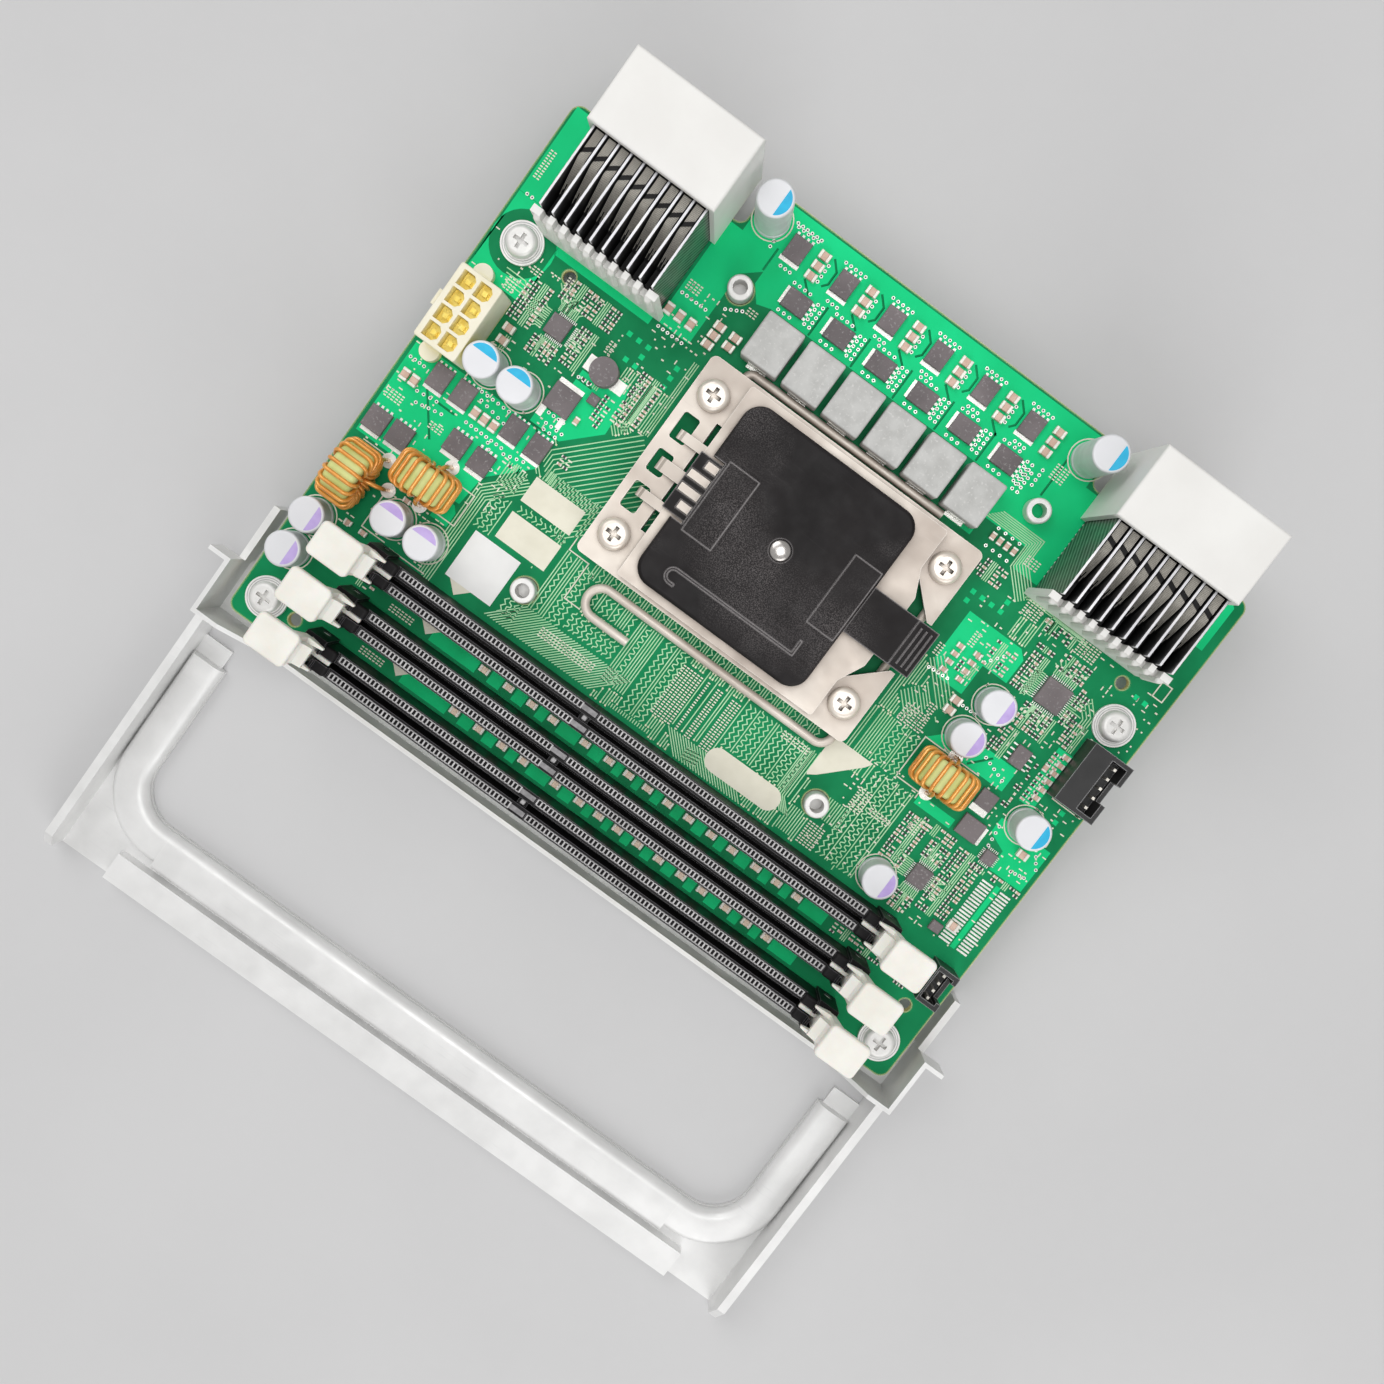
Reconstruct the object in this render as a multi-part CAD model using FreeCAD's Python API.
import FreeCAD, Part
import math
import os

# Processor and memory riser board on a folded steel carrier with a carrying handle.
# Layout datum: X = 0 on the board's centre line, Y = 0 at the socket centre, Z = 0 on the board's top.
# Every piece is moved on export, so that the row's origin is the middle of the underside.

# Fits
PRESS_GAP = 0.05
RUNNING_GAP = 0.05
SLIDE_GAP = 0.2
HOLE_GAP = 0.2

# Memory slots: row spacing, and the margin from the last one to the board's front edge
SLOT_FIRST_Y = -54.1
SLOT_PITCH = 11.5
SLOT_COUNT = 3
SLOT_MARGIN = 4.9
SLOT_LAST_Y = SLOT_FIRST_Y - (SLOT_COUNT - 1) * SLOT_PITCH

# Circuit board
BOARD_FRONT = SLOT_MARGIN - SLOT_LAST_Y
BOARD_WIDTH = 182.0
BOARD_REAR = 61.9
SHOULDER_REAR = 51.4
SHOULDER_HALF = 47.0
BOARD_THICK = 2.0
BOARD_CORNER_R = 2.5
NOTCH_R = 2.0
EDGE = BOARD_WIDTH / 2
BOARD_BOTTOM = -BOARD_THICK
TOOLING_HOLE_R = 1.5
TOOLING_HOLES = [(-70.8, 20.6), (79.0, 21.5), (-76.8, -75.6), (84.5, -65.1)]

# Board screws and the spacers under the board
STANDOFF_HIGH = 8.0
STANDOFF_R = 3.4
STANDOFF_SHANK_R = 2.6
SCREW_SHANK_R = 1.7
SCREW_FLANGE_R = 4.8
SCREW_FLANGE_THICK = 1.0
SCREW_HEAD_R = 3.5
SCREW_HEAD_HIGH = 2.2
SCREW_REACH = 7.5
DRIVE_WIDE = 0.9
DRIVE_LONG = 3.6
DRIVE_DEEP = 1.3
FRONT_SCREW_INSET_X = 6.5
FRONT_SCREW_INSET_Y = 7.0
REAR_SCREW_INSET_X = 7.9
BOARD_SCREWS = [
    (-EDGE + FRONT_SCREW_INSET_X, -BOARD_FRONT + FRONT_SCREW_INSET_Y),
    (EDGE - FRONT_SCREW_INSET_X, -BOARD_FRONT + FRONT_SCREW_INSET_Y),
    (-EDGE + REAR_SCREW_INSET_X, 20.4),
    (EDGE - REAR_SCREW_INSET_X, 12.9),
]

# Carrier: tray, walls and handle folded from one sheet
SHEET = 1.0
SIDE_GAP = 3.6
FRONT_GAP = 3.5
FLOOR_TOP = BOARD_BOTTOM - STANDOFF_HIGH
FLOOR_BOTTOM = FLOOR_TOP - SHEET
WALL_IN = EDGE + SIDE_GAP
WALL_OUT = WALL_IN + SHEET
FRONT_IN = -BOARD_FRONT - FRONT_GAP
FRONT_OUT = FRONT_IN - SHEET
TRAY_REAR = 44.0
TRAY_INSET = 1.0
CORNER_WALL_TOP = 4.7
FRONT_WALL_DIP = -3.3
DIP_HALF = 76.0
DIP_RISE = 13.0
SIDE_WALL_LONG = 14.5
GUIDE_TAB_REACH = 4.4
GUIDE_TAB_BOTTOM = -3.0
RAIL_LONG = 14.0
RAIL_THICK = 1.6
RAIL_TOP = -3.0
HANDLE_REACH = 66.0
HANDLE_FRONT = FRONT_OUT - HANDLE_REACH
HANDLE_BAR = 17.7
ARM_WIDE = 10.6
ARM_RELIEF = 6.0
ARM_TONGUE_LONG = 4.8
ARM_TONGUE_INSET = 1.3
GRIP_CORNER_R = 10.0
FLANGE_THICK = 2.0
FLANGE_TOP = -0.7
FLANGE_SLOPE = 3.6
RIM_R = 2.2
LIP_HALF = 80.5
LIP_DEEP = 6.8
LIP_HIGH = 3.5
EMBOSS_HALF = 75.5
EMBOSS_DEEP = 4.0
EMBOSS_HIGH = 0.5

# Processor socket and its loading mechanism, about the socket centre
SOCKET_X = 0.7
SOCKET_HALF_X = 24.4
SOCKET_HALF_Y = 22.4
SOCKET_FLOOR = 2.6
SOCKET_RIM_TOP = 5.0
SOCKET_RIM_THICK = 2.2
SOCKET_CORNER_R = 1.0
SEAT_CORNER_R = 0.8
COOLER_PITCH = 80.0
POST_R = 2.8
POST_TOP = 4.0
POST_SHANK_R = 2.2
POST_TAP_R = 1.65
POST_TAP_DEEP = 5.5
POST_EDGE_R = 0.4
BACKPLATE_HALF = 45.0
BACKPLATE_THICK = 2.2
BACKPLATE_WINDOW_HALF = 13.0
FRAME_HALF_X = 36.2
FRAME_HALF_Y = 25.6
FRAME_BOTTOM = 3.0
FRAME_THICK = 1.5
FRAME_TOP = FRAME_BOTTOM + FRAME_THICK
FRAME_WINDOW_HALF_X = 25.0
FRAME_WINDOW_HALF_Y = 23.0
FRAME_CORNER_R = 1.5
HINGE_STRIP_HALF_Y = 14.0
HINGE_STRIP_RELIEF = 2.0
LOCK_GAP_HALF_Y = 6.5
LOCK_SLOPE_INNER = (27.0, 14.0)
LOCK_SLOPE_OUTER_X = 35.0
LOCK_CORNER_Y = 15.5
FRAME_LEG_THICK = 1.2
FRAME_LEG_HALF = 24.0
HINGE_WINDOW = (-34.0, -30.0)
HINGE_WINDOWS_Y = [(9.0, 6.6), (0.0, 5.6), (-9.0, 6.6)]
HINGE_WINDOW_R = 0.7
FRAME_SCREW_X = 31.0
FRAME_SCREW_Y = 18.2
FRAME_SCREW_R = 1.5
FRAME_SCREW_HEAD_R = 3.6
FRAME_SCREW_HEAD_HIGH = 1.9
FRAME_SCREW_DOME_R = 1.3
LEVER_R = 1.0
LEVER_Z = 1.5
LEVER_EAR_Y = 21.0
LEVER_EAR_THICK = 1.5
LEVER_EAR_HALF = 2.1
NEAR_CRANK_X = 33.9
NEAR_ARM_Y = -28.9
NEAR_BEND_R = 3.0
NEAR_HOOK_X = -24.5
NEAR_HOOK_R = 3.5
NEAR_HOOK_END_X = -15.0
FAR_CRANK_X = -27.9
FAR_ARM_Y = 27.2
FAR_BEND_R = 1.6
FAR_ARM_END_X = 24.0
CRANK_END = 23.6
PLATE_BOTTOM = 5.6
PLATE_THICK = 1.4
PLATE_TOP = PLATE_BOTTOM + PLATE_THICK
PLATE_LEFT = -25.5
PLATE_RIGHT = 26.6
PLATE_HALF_Y = 24.6
PLATE_WINDOW_HALF_X = 20.5
PLATE_WINDOW_HALF_Y = 18.5
PLATE_TONGUE_X = 33.0
PLATE_TONGUE_HALF = 5.2
PLATE_SHOULDER = (29.5, 9.0)
PLATE_CORNER_Y = 15.0
PLATE_CORNER_R = 0.8
PLATE_WINDOW_R = 2.5
PLATE_RIB_THICK = 1.2
PLATE_RIB_HALF = 20.0
HINGE_X = -31.6
HINGE_Z = 3.75
HINGE_BARREL_R = 0.9
HINGE_TABS_Y = [(7.5, 2.2), (0.0, 3.0), (-7.5, 2.2)]
HINGE_TAB_KNEE = 2.0
HINGE_TAB_BACK = 0.6
HINGE_TAB_RISE = 0.4
HINGE_TAB_ROOT = 0.5
FINGER_LONG = 4.9
FINGER_SHORT = 2.8
FINGER_RIGHT = -20.6
FINGER_WIDE = 1.7
FINGER_HIGH = 1.3
FINGER_ROOT = 0.4
FINGERS = [(2.1, FINGER_LONG), (-1.4, FINGER_LONG), (5.4, FINGER_SHORT), (-4.7, FINGER_SHORT)]

# Protective cap clipped in the load plate
CAP_LEFT = -23.3
CAP_RIGHT = 21.0
CAP_HALF_Y = 22.75
CAP_HIGH = 3.0
CAP_WALL = 1.4
CAP_CORNER_R = 4.5
CAP_EDGE_R = 0.9
CAP_PAD_HALF_Y = 8.8
CAP_PAD_HIGH = 0.5
CAP_PADS_X = [(-19.6, -12.0), (13.4, 20.4)]
CAP_NOTCH_X = -20.2
CAP_NOTCH_HALF_Y = 7.8
CAP_LEDGE_LEFT = -26.0
CAP_LEDGE_HALF_Y = 7.2
CAP_LEDGE_HIGH = 0.8
CAP_LEDGE_ROOT = 0.3
CAP_TAB_X = 38.0
CAP_TAB_HALF_Y = 5.8
CAP_TAB_THICK = 1.6
CAP_TAB_RAISE = 0.6
CAP_GRIP_LONG = 5.2
CAP_DIMPLE_R = 2.6
CAP_DIMPLE_DEEP = 0.6
CAP_CLIP_THICK = 0.9
CAP_CLIP_HALF = 5.0
CAP_CLIP_DROP = 1.5
CAP_NUB_R = (0.9, 0.4)
CAP_NUB_HIGH = 0.5
CAP_GRIP_HIGH = 0.5
CAP_RIB_WIDE = 0.6
CAP_RIB_HIGH = 0.4
CAP_RIB_ROOT = 0.2
CAP_RIB_TURN_R = 1.6
CAP_RIB_Y = -16.2
CAP_RIB_LEFT = -15.2
CAP_RIB_RIGHT = 15.0
CAP_RIB_HOOK = 3.5
CAP_RIB_TAIL = 1.2

# One memory slot, with the contact span of a standard module
SLOT_BODY_HALF = 66.0
SLOT_HALF = 71.0
SLOT_HALF_WIDE = 3.2
SLOT_HIGH = 8.2
SLOT_GROOVE_WIDE = 1.5
SLOT_GROOVE_FLOOR = 2.2
SLOT_KEY_X = -12.0
SLOT_KEY_WIDE = 2.4
SLOT_KEY_TOP = 6.8
SLOT_LOBE_X = 62.8
SLOT_LOBE_HIGH = 10.0
SLOT_LOBE_EDGE_R = 0.7
CONTACT_HALF_SPAN = 62.4
CONTACT_ROW_IN = 1.3
CONTACT_ROW_OUT = 2.9
CONTACT_ROW_DEEP = 0.5
TOWER_HALF_WIDE = 3.9
TOWER_HIGH = 11.5
TOWER_CHAMFER = 1.2
TOWER_POCKET_X = 66.6
TOWER_POCKET_HALF = 2.6
TOWER_POCKET_FLOOR = 1.2
LATCH_PIVOT_X = 68.6
LATCH_PIVOT_Z = 3.0
LATCH_PIN_R = 1.0
LATCH_PIN_HALF = 3.7
LATCH_FOOT_X = 64.2
LATCH_FOOT_HALF = 0.55
LATCH_FOOT_Z = (2.4, 3.3)
LATCH_PAD_X = (68.6, 78.7)
LATCH_PAD_HALF = 4.0
LATCH_PAD_Z = (20.2, 22.0)
LATCH_PAD_CORNER_R = 1.2
LATCH_HEEL = (1.6, 2.2)
LATCH_TOE = (0.9, 1.9)
LATCH_BACK_LOW = (1.5, 2.6)
LATCH_BACK_HIGH = (1.7, 14.0)
LATCH_FLARE = 4.2
LATCH_NECK = (0.4, 18.6)
LATCH_NOSE = 2.3
LATCH_NOSE_Z = (16.5, 17.7)
LATCH_THROAT = (0.6, 15.2)
LATCH_FRONT = (1.2, 6.0)
LATCH_SHIN_Z = 5.0
LATCH_WEB_HALF = 0.8
LATCH_WEB_LOW = (1.2, 13.0)
LATCH_WEB_REACH = 8.0
LATCH_SINK = 0.5
LATCH_SHOULDER_HALF = 3.4
LATCH_SHOULDER_Z = 12.6
LATCH_SHOULDER_IN = 0.2

# Power inlet, eight ways in two columns
POWER_INSET = 2.9
POWER_DEEP = 10.4
POWER_EAR_R = 2.3
POWER_EAR_HIGH = 2.5
POWER_EAR_REACH = 0.9
POWER_LOCK = 0.8
POWER_LOCK_WIDE = 3.6
POWER_LOCK_HIGH = 2.0
POWER_HALF_LONG = 9.05
POWER_HIGH = 12.8
POWER_PITCH = 4.2
POWER_CAVITY = 3.5
POWER_CAVITY_CUT = 0.9
POWER_FLOOR = 2.0
POWER_COLLAR_TOP = 9.4
POWER_CORNER_R = 0.6
POWER_EDGE_R = 0.3
POWER_ROWS = 4
POWER_BLADE = 1.1
POWER_BLADE_TOP = 11.2

# Backplane connectors, the same part on both shoulders of the board
BACKPLANE_INSET = 10.8
BACKPLANE_WIDE = 30.7
SHROUD_REAR = 44.6
SHROUD_FRONT = 61.6
SHROUD_HIGH = 28.0
SHROUD_WALL = 1.2
SHROUD_FACE = 3.6
SHROUD_EDGE_R = 0.6
SHROUD_SLOT_MARGIN = 2.0
WAFER_BACK = 26.2
WAFER_FRONT = SHROUD_FRONT - SHROUD_FACE - SLIDE_GAP
SHIELD_HIGH = 26.0
SHIELD_THICK = 0.5
SHIELD_COUNT = 10
WAFER_THICK = 1.7
WAFER_HIGH = 19.5
WAFER_LIFT = 0.2
ORGANISER_THICK = 1.6
ORGANISER_HIGH = 23.0
ORGANISER_SLOT_DEEP = 4.0

# Fan headers on the right edge
FAN_REAR = {"inset": 0.6, "deep": 10.1, "y": -0.2, "long": 15.0, "pins": 5, "pitch": 2.54}
FAN_FRONT = {"inset": 2.5, "deep": 5.4, "y": -56.5, "long": 9.2, "pins": 4, "pitch": 2.0}
FAN_HIGH = 8.0
FAN_WALL = 1.1
FAN_FLOOR = 2.0
FAN_KEY_HALF = 2.6
FAN_KEY_LIFT = 1.5
FAN_PIN = 0.64
FAN_PIN_GAP = 1.9
FAN_PIN_TOP = 7.0

# Power stage
INDUCTOR_FIRST_X = -26.4
INDUCTOR_PITCH = 10.72
INDUCTOR_COUNT = 6
INDUCTOR_Y = 34.1
INDUCTOR_SIZE = (9.3, 11.0, 7.0)
INDUCTOR_EDGE_R = 0.5

# Chokes stand on edge: place, and the direction of the ring's axis
CHOKE_PLACES = [(-83.5, -41.2, "x"), (-69.4, -32.9, "y"), (58.7, -18.3, "y")]
CHOKE_RING_OUT = 6.5
CHOKE_RING_IN = 3.2
CHOKE_RING_WIDE = 6.8
CHOKE_WIRE_R = 0.45
CHOKE_TURNS = 18
CHOKE_CORNER_R = 1.0

# Polymer capacitor cans: place and height
CAN_R = 4.0
CAN_EDGE_R = 0.5
CAN_CRIMP_Z = 1.9
CAN_CRIMP_DEEP = 0.35
CAN_LOW = 8.0
CAN_MEDIUM = 9.5
CAN_TALL = 13.0
CAN_TALLEST = 18.0
CAN_PLACES = [
    (-42.5, 56.1, CAN_TALLEST),
    (43.3, 55.6, CAN_TALLEST),
    (-73.4, -5.1, CAN_TALL),
    (-64.7, -5.2, CAN_TALL),
    (81.1, -16.4, CAN_MEDIUM),
    (-71.3, -44.2, CAN_LOW),
    (-62.6, -44.3, CAN_LOW),
    (-86.0, -53.9, CAN_LOW),
    (-86.0, -62.9, CAN_LOW),
    (58.9, 0.8, CAN_LOW),
    (57.8, -8.6, CAN_LOW),
    (61.2, -44.9, CAN_LOW),
]

# Soldered packages: place, length along X and along Y
TRANSISTOR_HIGH = 1.0
UPPER_SWITCH = {"first": -34.4, "pitch": 12.66, "y": 54.1, "size": (4.5, 5.4)}
LOWER_SWITCH = {"first": -27.9, "pitch": 11.34, "y": 45.0, "size": (5.8, 4.6)}
SWITCH_COUNT = 6
OTHER_TRANSISTORS = [
    (-81.0, -13.4, 4.6, 5.6), (-74.8, -13.3, 4.6, 5.6), (-61.5, -13.0, 4.6, 5.6), (-55.0, -13.2, 4.6, 5.6),
    (-69.8, -22.8, 5.0, 5.2), (-63.3, -22.9, 5.0, 5.2), (-87.0, -28.9, 5.2, 5.4), (-81.0, -28.7, 5.2, 5.4),
    (70.7, -16.9, 4.2, 4.2), (71.7, -24.1, 5.6, 5.0),
]
CHIP_HIGH = 1.1
CHIPS = [
    (-66.5, 10.5, 4.8, 4.8), (-56.7, -1.6, 6.4, 6.2), (68.4, 10.2, 6.4, 6.4), (70.8, -4.9, 3.6, 4.8),
    (69.2, -39.5, 4.4, 4.8), (79.0, -27.0, 3.0, 3.0), (79.0, -46.5, 2.8, 2.4), (-51.2, 2.5, 2.4, 2.4),
]
PACKAGE_BEVEL = 0.15
DRUM_CHOKE = (-52.5, 8.5)
DRUM_CHOKE_R = 3.2
DRUM_CHOKE_HIGH = 4.0
DRUM_CHOKE_GROOVE = 0.7

# The row's origin: middle of the underside
FRAME_SHIFT = FreeCAD.Vector(0, -(HANDLE_FRONT + BOARD_REAR) / 2, -FLOOR_BOTTOM)

Vector = FreeCAD.Vector
UP = Vector(0, 0, 1)
ALONG_Y = Vector(0, 1, 0)


def box(x0, x1, y0, y1, z0, z1):
    return Part.makeBox(x1 - x0, y1 - y0, z1 - z0, Vector(x0, y0, z0))


def block(x, y, long_x, long_y, z0, z1):
    return box(x - long_x / 2, x + long_x / 2, y - long_y / 2, y + long_y / 2, z0, z1)


def disc(x, y, radius, z0, z1):
    return Part.makeCylinder(radius, z1 - z0, Vector(x, y, z0))


def rod_along_y(x, z, radius, y0, y1):
    return Part.makeCylinder(radius, y1 - y0, Vector(x, y0, z), ALONG_Y)


def plate(points, z0, z1):
    corners = [Vector(x, y, z0) for x, y in points]
    face = Part.Face(Part.makePolygon(corners + corners[:1]))
    return face.extrude(Vector(0, 0, z1 - z0))


def profile_along_y(points, y0, y1):
    corners = [Vector(x, y0, z) for x, z in points]
    face = Part.Face(Part.makePolygon(corners + corners[:1]))
    return face.extrude(Vector(0, y1 - y0, 0))


def union(shapes):
    return shapes[0].multiFuse(shapes[1:]).removeSplitter()


def is_upright(edge):
    ends = [v.Point for v in edge.Vertexes]
    return len(ends) == 2 and ends[0].distanceToPoint(Vector(ends[1].x, ends[1].y, ends[0].z)) < 1e-6


def upright_edges_at(shape, half_x, y):
    found = []
    for edge in shape.Edges:
        point = edge.Vertexes[0].Point
        if is_upright(edge) and abs(abs(point.x) - half_x) < 1e-6 and abs(point.y - y) < 1e-6:
            found.append(edge)
    return found


def is_at_height(edge, z):
    return all(abs(v.Point.z - z) < 1e-6 for v in edge.Vertexes)


def round_upright(shape, radius):
    return shape.makeFillet(radius, [e for e in shape.Edges if is_upright(e)])


def round_at_height(shape, radius, z):
    return shape.makeFillet(radius, [e for e in shape.Edges if is_at_height(e, z)])


def rounded_block(x0, x1, y0, y1, z0, z1, corner, edge):
    return round_at_height(round_upright(box(x0, x1, y0, y1, z0, z1), corner), edge, z1)


def pipe(edges, start, direction, radius):
    circle = Part.Wire(Part.makeCircle(radius, start, direction))
    return Part.Wire(edges).makePipeShell([circle], True, False)


def mirrored_x(shape):
    return shape.mirror(Vector(0, 0, 0), Vector(1, 0, 0))


def in_socket(shape):
    return shape.translated(Vector(SOCKET_X, 0, 0))


def cross_recess(x, y, top):
    long_way = block(x, y, DRIVE_LONG, DRIVE_WIDE, top - DRIVE_DEEP, top + 1)
    cross_way = block(x, y, DRIVE_WIDE, DRIVE_LONG, top - DRIVE_DEEP, top + 1)
    return union([long_way, cross_way])


def export(name, shape):
    shape.translated(FRAME_SHIFT).exportStep("parts/" + name + ".step")


# Carrier

def carrier_tray():
    rear_half = EDGE - TRAY_INSET
    side_rear = FRONT_OUT + SIDE_WALL_LONG
    rail_rear = side_rear + RAIL_LONG
    floor = box(-rear_half, rear_half, FRONT_OUT, TRAY_REAR, FLOOR_BOTTOM, FLOOR_TOP)
    front_floor = box(-WALL_OUT, WALL_OUT, FRONT_OUT, rail_rear, FLOOR_BOTTOM, FLOOR_TOP)
    rise_half = DIP_HALF + DIP_RISE
    front_wall = profile_along_y([
        (-WALL_OUT, FLOOR_BOTTOM), (WALL_OUT, FLOOR_BOTTOM), (WALL_OUT, CORNER_WALL_TOP),
        (rise_half, CORNER_WALL_TOP), (DIP_HALF, FRONT_WALL_DIP), (-DIP_HALF, FRONT_WALL_DIP),
        (-rise_half, CORNER_WALL_TOP), (-WALL_OUT, CORNER_WALL_TOP)], FRONT_OUT, FRONT_IN)
    right = [
        box(WALL_IN, WALL_OUT, FRONT_OUT, side_rear, FLOOR_BOTTOM, CORNER_WALL_TOP),
        box(WALL_IN, WALL_OUT + GUIDE_TAB_REACH, side_rear - SHEET, side_rear,
            GUIDE_TAB_BOTTOM, CORNER_WALL_TOP),
        box(WALL_OUT - RAIL_THICK, WALL_OUT, side_rear, rail_rear, FLOOR_BOTTOM, RAIL_TOP),
    ]
    return [floor, front_floor, front_wall] + right + [mirrored_x(s) for s in right]


def handle_plate():
    arm_start = FRONT_OUT - ARM_RELIEF
    grip_half = WALL_OUT - ARM_WIDE
    grip_front = HANDLE_FRONT + HANDLE_BAR
    sheet = box(-WALL_OUT, WALL_OUT, HANDLE_FRONT, arm_start, FLOOR_BOTTOM, FLOOR_TOP)
    grip = box(-grip_half, grip_half, grip_front, arm_start + 1, FLOOR_BOTTOM - 1, FLOOR_TOP + 1)
    front_edges = [e for e in grip.Edges if is_upright(e) and e.Vertexes[0].Point.y < grip_front + 1e-6]
    sheet = sheet.cut(grip.makeFillet(GRIP_CORNER_R, front_edges))
    tongue_front = arm_start - ARM_TONGUE_LONG
    tongue_edge = grip_half + ARM_TONGUE_INSET
    trim = box(grip_half - 1, tongue_edge, tongue_front, arm_start + 1, FLOOR_BOTTOM - 1, FLOOR_TOP + 1)
    return sheet.cut(trim).cut(mirrored_x(trim))


def grip_rim():
    x = WALL_OUT - ARM_WIDE + RIM_R
    z = FLOOR_BOTTOM + RIM_R
    rear = FRONT_OUT - ARM_RELIEF - ARM_TONGUE_LONG
    front = HANDLE_FRONT + HANDLE_BAR - RIM_R
    bend = GRIP_CORNER_R + RIM_R
    slant = bend * (1 - math.sqrt(0.5))
    edges = [
        Part.LineSegment(Vector(-x, rear, z), Vector(-x, front + bend, z)).toShape(),
        Part.Arc(Vector(-x, front + bend, z), Vector(-x + slant, front + slant, z),
                 Vector(-x + bend, front, z)).toShape(),
        Part.LineSegment(Vector(-x + bend, front, z), Vector(x - bend, front, z)).toShape(),
        Part.Arc(Vector(x - bend, front, z), Vector(x - slant, front + slant, z),
                 Vector(x, front + bend, z)).toShape(),
        Part.LineSegment(Vector(x, front + bend, z), Vector(x, rear, z)).toShape(),
    ]
    return pipe(edges, Vector(-x, rear, z), ALONG_Y, RIM_R)


def handle_flange():
    flange_in = WALL_OUT - FLANGE_THICK
    outline = [(HANDLE_FRONT, FLOOR_BOTTOM), (FRONT_OUT, FLOOR_BOTTOM), (FRONT_OUT, FLANGE_TOP),
               (HANDLE_FRONT + FLANGE_SLOPE, FLANGE_TOP), (HANDLE_FRONT, FLANGE_TOP - FLANGE_SLOPE)]
    corners = [Vector(flange_in, y, z) for y, z in outline]
    face = Part.Face(Part.makePolygon(corners + corners[:1]))
    return face.extrude(Vector(FLANGE_THICK, 0, 0))


def front_lip():
    lip_top = FLOOR_TOP + LIP_HIGH
    return box(-LIP_HALF, LIP_HALF, HANDLE_FRONT, HANDLE_FRONT + LIP_DEEP, FLOOR_BOTTOM, lip_top)


def front_lip_hollow():
    lip_top = FLOOR_TOP + LIP_HIGH
    half = LIP_HALF - SHEET
    return box(-half, half, HANDLE_FRONT + SHEET, HANDLE_FRONT + LIP_DEEP - SHEET,
               FLOOR_BOTTOM - 1, lip_top - SHEET)


def carrier():
    emboss_front = HANDLE_FRONT + LIP_DEEP + SHEET
    emboss = box(-EMBOSS_HALF, EMBOSS_HALF, emboss_front, emboss_front + EMBOSS_DEEP,
                 FLOOR_TOP - SHEET / 2, FLOOR_TOP + EMBOSS_HIGH)
    flange = handle_flange()
    handle = [handle_plate(), flange, mirrored_x(flange), grip_rim(), front_lip(), emboss]
    body = union(carrier_tray() + handle).cut(front_lip_hollow())
    for x, y in BOARD_SCREWS:
        body = body.cut(disc(x, y, STANDOFF_SHANK_R + PRESS_GAP, FLOOR_BOTTOM - 1, FLOOR_TOP + 1))
    return body


os.makedirs("parts", exist_ok=True)
export("carrier", carrier())


# Spacers and board screws

def standoff(x, y):
    body = disc(x, y, STANDOFF_R, FLOOR_TOP, BOARD_BOTTOM)
    shank = disc(x, y, STANDOFF_SHANK_R, FLOOR_BOTTOM, FLOOR_TOP)
    tapped = disc(x, y, SCREW_SHANK_R + PRESS_GAP, FLOOR_BOTTOM - 1, BOARD_BOTTOM + 1)
    return union([body, shank]).cut(tapped)


def board_screw(x, y):
    head_top = SCREW_FLANGE_THICK + SCREW_HEAD_HIGH
    flange = disc(x, y, SCREW_FLANGE_R, 0, SCREW_FLANGE_THICK)
    head = round_at_height(disc(x, y, SCREW_HEAD_R, 0, head_top), SCREW_HEAD_HIGH / 2, head_top)
    shank = disc(x, y, SCREW_SHANK_R, BOARD_BOTTOM - SCREW_REACH, 0)
    return union([flange, head, shank]).cut(cross_recess(x, y, head_top))


export("board_standoffs", Part.makeCompound([standoff(x, y) for x, y in BOARD_SCREWS]))
export("board_screws", Part.makeCompound([board_screw(x, y) for x, y in BOARD_SCREWS]))


# Circuit board

def cooler_posts_xy():
    half = COOLER_PITCH / 2
    return [(SOCKET_X + sx * half, sy * half) for sx in (-1, 1) for sy in (-1, 1)]


def frame_screws_xy():
    return [(SOCKET_X + sx * FRAME_SCREW_X, sy * FRAME_SCREW_Y) for sx in (-1, 1) for sy in (-1, 1)]


def main_board():
    wide = box(-EDGE, EDGE, -BOARD_FRONT, SHOULDER_REAR, BOARD_BOTTOM, 0)
    middle = box(-SHOULDER_HALF, SHOULDER_HALF, 0, BOARD_REAR, BOARD_BOTTOM, 0)
    body = union([wide, middle])
    body = body.makeFillet(NOTCH_R, upright_edges_at(body, SHOULDER_HALF, SHOULDER_REAR))
    corners = upright_edges_at(body, EDGE, SHOULDER_REAR) + upright_edges_at(body, EDGE, -BOARD_FRONT)
    body = body.makeFillet(BOARD_CORNER_R, corners)
    holes = [(x, y, SCREW_SHANK_R + HOLE_GAP) for x, y in BOARD_SCREWS]
    holes += [(x, y, POST_R + HOLE_GAP) for x, y in cooler_posts_xy()]
    holes += [(x, y, FRAME_SCREW_R + HOLE_GAP) for x, y in frame_screws_xy()]
    holes += [(x, y, TOOLING_HOLE_R) for x, y in TOOLING_HOLES]
    cuts = [disc(x, y, radius, BOARD_BOTTOM - 1, 1) for x, y, radius in holes]
    return body.cut(Part.makeCompound(cuts))


export("main_board", main_board())


# Cooler posts and the plate under the board

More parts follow.
